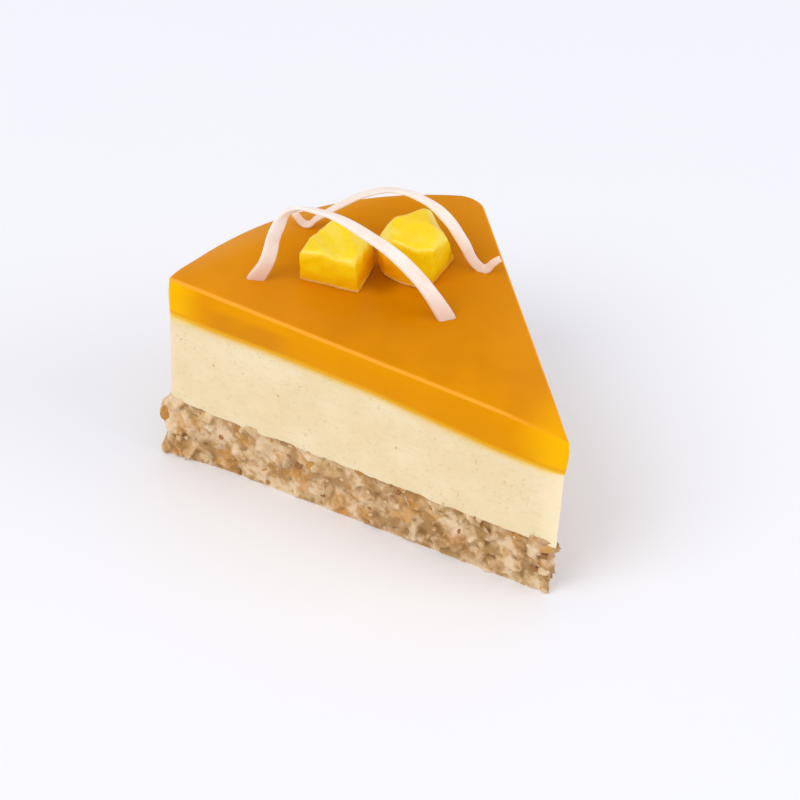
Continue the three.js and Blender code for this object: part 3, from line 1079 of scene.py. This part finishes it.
def makeMango(name):
    cut = mango["cubes"][name]
    middle, foot = overJelly(cut["middle"], cut["lift"]), overJelly(cut["middle"], -mango["sunk"])
    clearSelection()
    bpy.ops.mesh.primitive_cube_add(size=mango["block"] * mm, location=middle)
    piece = newPiece(pieceName(name))
    mode("EDIT")
    for azimuth, elevation, distance in cut["cuts"]:
        facing = way(azimuth, elevation)
        cutAway(middle + facing * distance * mm, facing, True)
    # It stands on the jelly, whose top rises towards the rim
    slope = cake["rimGain"] * cake["jellyTop"]
    cutAway(foot, Vector((0, slope, -1)).normalized(), True)
    selectAll()
    bpy.ops.mesh.remove_doubles(threshold=0.02 * mm)
    bpy.ops.mesh.dissolve_limited(angle_limit=radians(1))
    # Every edge is worn but those at the foot
    pick(piece, "EDGE", lambda e: min(v.co.z for v in e.verts) > foot.z + 1.2 * mm)
    bpy.ops.mesh.bevel(offset=mango["edge"] * mm, segments=3, profile=0.5, affect="EDGES")
    mode("OBJECT")
    bake(piece, "evenOut", "REMESH", mode="VOXEL", voxel_size=mango["grid"] * mm)
    bake(piece, "soften", "SMOOTH", factor=0.5, iterations=12)
    start, end, half, depth = cut["groove"]
    start, along = Vector(start), Vector(end) - Vector(start)

    def sink(place):
        # the groove, deepest in its middle and only in the cube's upper part
        off = (place - middle).xy / mm - start
        aside = abs(off.cross(along)) / along.length / half
        return 0, 0, -depth * ease(aside, 1.4, 0) * ease((place.z - middle.z) / mm, -1, 3)

    nudge(piece, sink)
    above = weigh(piece, "above", lambda v: ease((v.z - foot.z) / mm, 0.2, 1.5))
    emboss(piece, name + "Dents", 5.5, mango["dents"], above, 0.62, noise_depth=1)
    emboss(piece, name + "Skin", 1.3, mango["skin"], above, 0.6, noise_depth=2)
    finishMesh(piece, 60)
    dress(piece, mangoFinish(name), "mango", name)
    print(name, len(piece.data.polygons))


# Curls

curl = {
    "ribbons": {
        "curl_front": {
            "from": (-27.7, 83.7), "to": (2.3, 48.2),  # its feet, from the tip, mm
            # mm gone from the first foot towards the second, and mm over the jelly
            "profile": [(-0.3, -0.8), (0, 0), (2.6, 5.6), (5, 15.9), (8.2, 21.9), (14.8, 23.2),
                        (26.5, 19.3), (38.2, 11), (46.5, 0), (46.9, -0.8)],
            # share of its length, and degrees or mm there
            "twist": [(0, -77), (0.25, -70), (0.42, -20), (0.72, 35), (1, 52)],
            "width": [(0, 4.3), (0.1, 3.7), (0.22, 3.3), (0.34, 2.6), (0.45, 2.9), (0.8, 3.5), (1, 4.3)],
        },
        "curl_back": {
            "from": (-5.5, 94.1), "to": (20.9, 57.5),
            "profile": [(-3.2, 2.8), (0, 0.4), (2.8, 3.1), (9.5, 9.5), (15.8, 14.4), (22.2, 16.9),
                        (29.2, 16.2), (35, 12.7), (39.6, 6.8), (43.4, 1.2), (45.3, 0.5), (47.4, 3),
                        (48.9, 4.7)],
            "twist": [(0, 20), (0.3, 20), (0.5, -12), (0.75, 50), (1, 56)],
            "width": [(0, 2.0), (0.12, 2.3), (0.4, 2.3), (0.75, 2.9), (0.92, 2.4), (1, 1.6)],
        },
    },
    "section": 3.2,  # width of the bar that is drawn along the line, mm
    "thickness": 1.1,
    "body": ink(252, 238, 227),
    "shade": ink(246, 224, 208),
    "foot": ink(236, 204, 186),
}


def curlFinish():
    finish = Finish("whiteCurl", IOR=1.45, Subsurface_Weight=0.3, Subsurface_Radius=(1.0, 0.7, 0.5),
                    Subsurface_Scale=0.002)
    cloud = finish.noise(5, 3, 0.5)
    # The jelly glows through the thin feet
    colour = finish.over(curl["body"], (cloud, 0.4, 0.75, 1, curl["shade"]),
                         (finish.level(), 57, 49.5, 0.7, curl["foot"]))
    return finish.complete(colour, finish.grade(cloud, 0.3, 0.7) * 0.15 + 0.32,
                           finish.noise(1.5, 3, 0.5), 0.08)


def ribbonSection():
    # a flat bar with round corners, as an outline
    clearSelection()
    bpy.ops.mesh.primitive_plane_add(size=1)
    newPiece("curlSection")
    mode("EDIT")
    bpy.ops.transform.resize(value=(curl["section"] * mm, curl["thickness"] * mm, 1))
    bpy.ops.mesh.select_mode(type="VERT")
    bpy.ops.mesh.bevel(offset=0.49 * curl["thickness"] * mm, segments=5, affect="VERTICES")
    selectAll()
    bpy.ops.mesh.delete(type="ONLY_FACE")
    mode("OBJECT")
    bpy.ops.object.convert(target="CURVE")
    section = bpy.context.object
    clearSelection()
    return section


def makeCurl(name, finish):
    ribbon = curl["ribbons"][name]
    start, end = Vector(ribbon["from"]), Vector(ribbon["to"])
    heading = (end - start).normalized()
    points = [overJelly(start + heading * distance, height) for distance, height in ribbon["profile"]]
    gone = [0.0]
    for before, after in zip(points, points[1:]):
        gone.append(gone[-1] + (after - before).length)
    section = ribbonSection()
    path = bpy.data.curves.new(name, "CURVE")
    path.dimensions = "3D"
    path.twist_mode = "Z_UP"
    line = path.splines.new("BEZIER")
    line.bezier_points.add(len(points) - 1)
    line.tilt_interpolation = line.radius_interpolation = "EASE"
    line.resolution_u = 10
    for knot, place, distance in zip(line.bezier_points, points, gone):
        share = distance / gone[-1]
        knot.co = place
        knot.handle_left_type = knot.handle_right_type = "AUTO"
        knot.tilt = radians(between(ribbon["twist"], share))
        knot.radius = between(ribbon["width"], share) / curl["section"]
    path.bevel_mode = "OBJECT"
    path.bevel_object = section
    path.use_fill_caps = True
    onlyThis(addObject(pieceName(name), path))
    bpy.ops.object.convert(target="MESH")
    piece = bpy.context.object
    bpy.data.objects.remove(section)
    finishMesh(piece, 50)
    dress(piece, finish, "curl", name)
    print(name, len(piece.data.polygons))


# Floor, light and camera

studio = {
    "floor": ink(248, 250, 254),
    "floorShade": ink(246, 248, 253),
    "floorSize": 8,
    "world": (0.965, 0.955, 1.0, 1),
    "worldStrength": 0.7,
    "lens": 112.5,
    "cameraAt": (-295.51, -355.85, 412.20),
    "aim": (18.92, 27.89, 0),
    "roll": 3.38,
    "lampsAimAt": (0, 0, 0.03),
    # name: (place in m, size in m, watts, colour)
    "lamps": {
        "window": ((-1.6, -0.1, 1.7), 1.6, 20.0, (1, 0.995, 0.98)),
        "fill": ((1.1, -1.3, 1.0), 1.4, 9.0, (1, 0.99, 1)),
    },
}


def makeStudio():
    clearSelection()
    bpy.ops.mesh.primitive_plane_add(size=studio["floorSize"])
    floor = newPiece("floor")
    finish = Finish("paleFloor", Roughness=0.6)
    cloud = finish.noise(120, 2, 0.5)
    finish.feed("Base Color", finish.mix(cloud, studio["floor"], studio["floorShade"]))
    floor.data.materials.append(finish.material)
    world = bpy.data.worlds.new("softbox")
    world.use_nodes = True
    backdrop = world.node_tree.nodes["Background"].inputs
    backdrop["Color"].default_value = studio["world"]
    backdrop["Strength"].default_value = studio["worldStrength"]
    bpy.context.scene.world = world
    for name, (place, size, watts, colour) in studio["lamps"].items():
        lamp = bpy.data.lights.new(name, "AREA")
        lamp.shape, lamp.size, lamp.energy, lamp.color = "DISK", size, watts, colour
        rig = addObject(name, lamp)
        rig.location = place
        aim = Vector(studio["lampsAimAt"]) - Vector(place)
        rig.rotation_euler = aim.to_track_quat("-Z", "Y").to_euler()
    lens = bpy.data.cameras.new("view")
    lens.lens, lens.sensor_width, lens.clip_start = studio["lens"], 36, 0.01
    camera = addObject("view", lens)
    camera.location = Vector(studio["cameraAt"]) * mm
    aim = (Vector(studio["aim"]) * mm - camera.location).to_track_quat("-Z", "Y")
    camera.rotation_mode = "QUATERNION"
    camera.rotation_quaternion = aim @ Quaternion((0, 0, 1), radians(studio["roll"]))
    bpy.context.scene.camera = camera
    bpy.context.scene.view_settings.view_transform = "Standard"
    print("studio", len(studio["lamps"]), "lamps")


makeJelly()
makeCream()
makeBase()
for cubeName in mango["cubes"]:
    makeMango(cubeName)
curlChocolate = curlFinish()
for ribbonName in curl["ribbons"]:
    makeCurl(ribbonName, curlChocolate)
makeStudio()
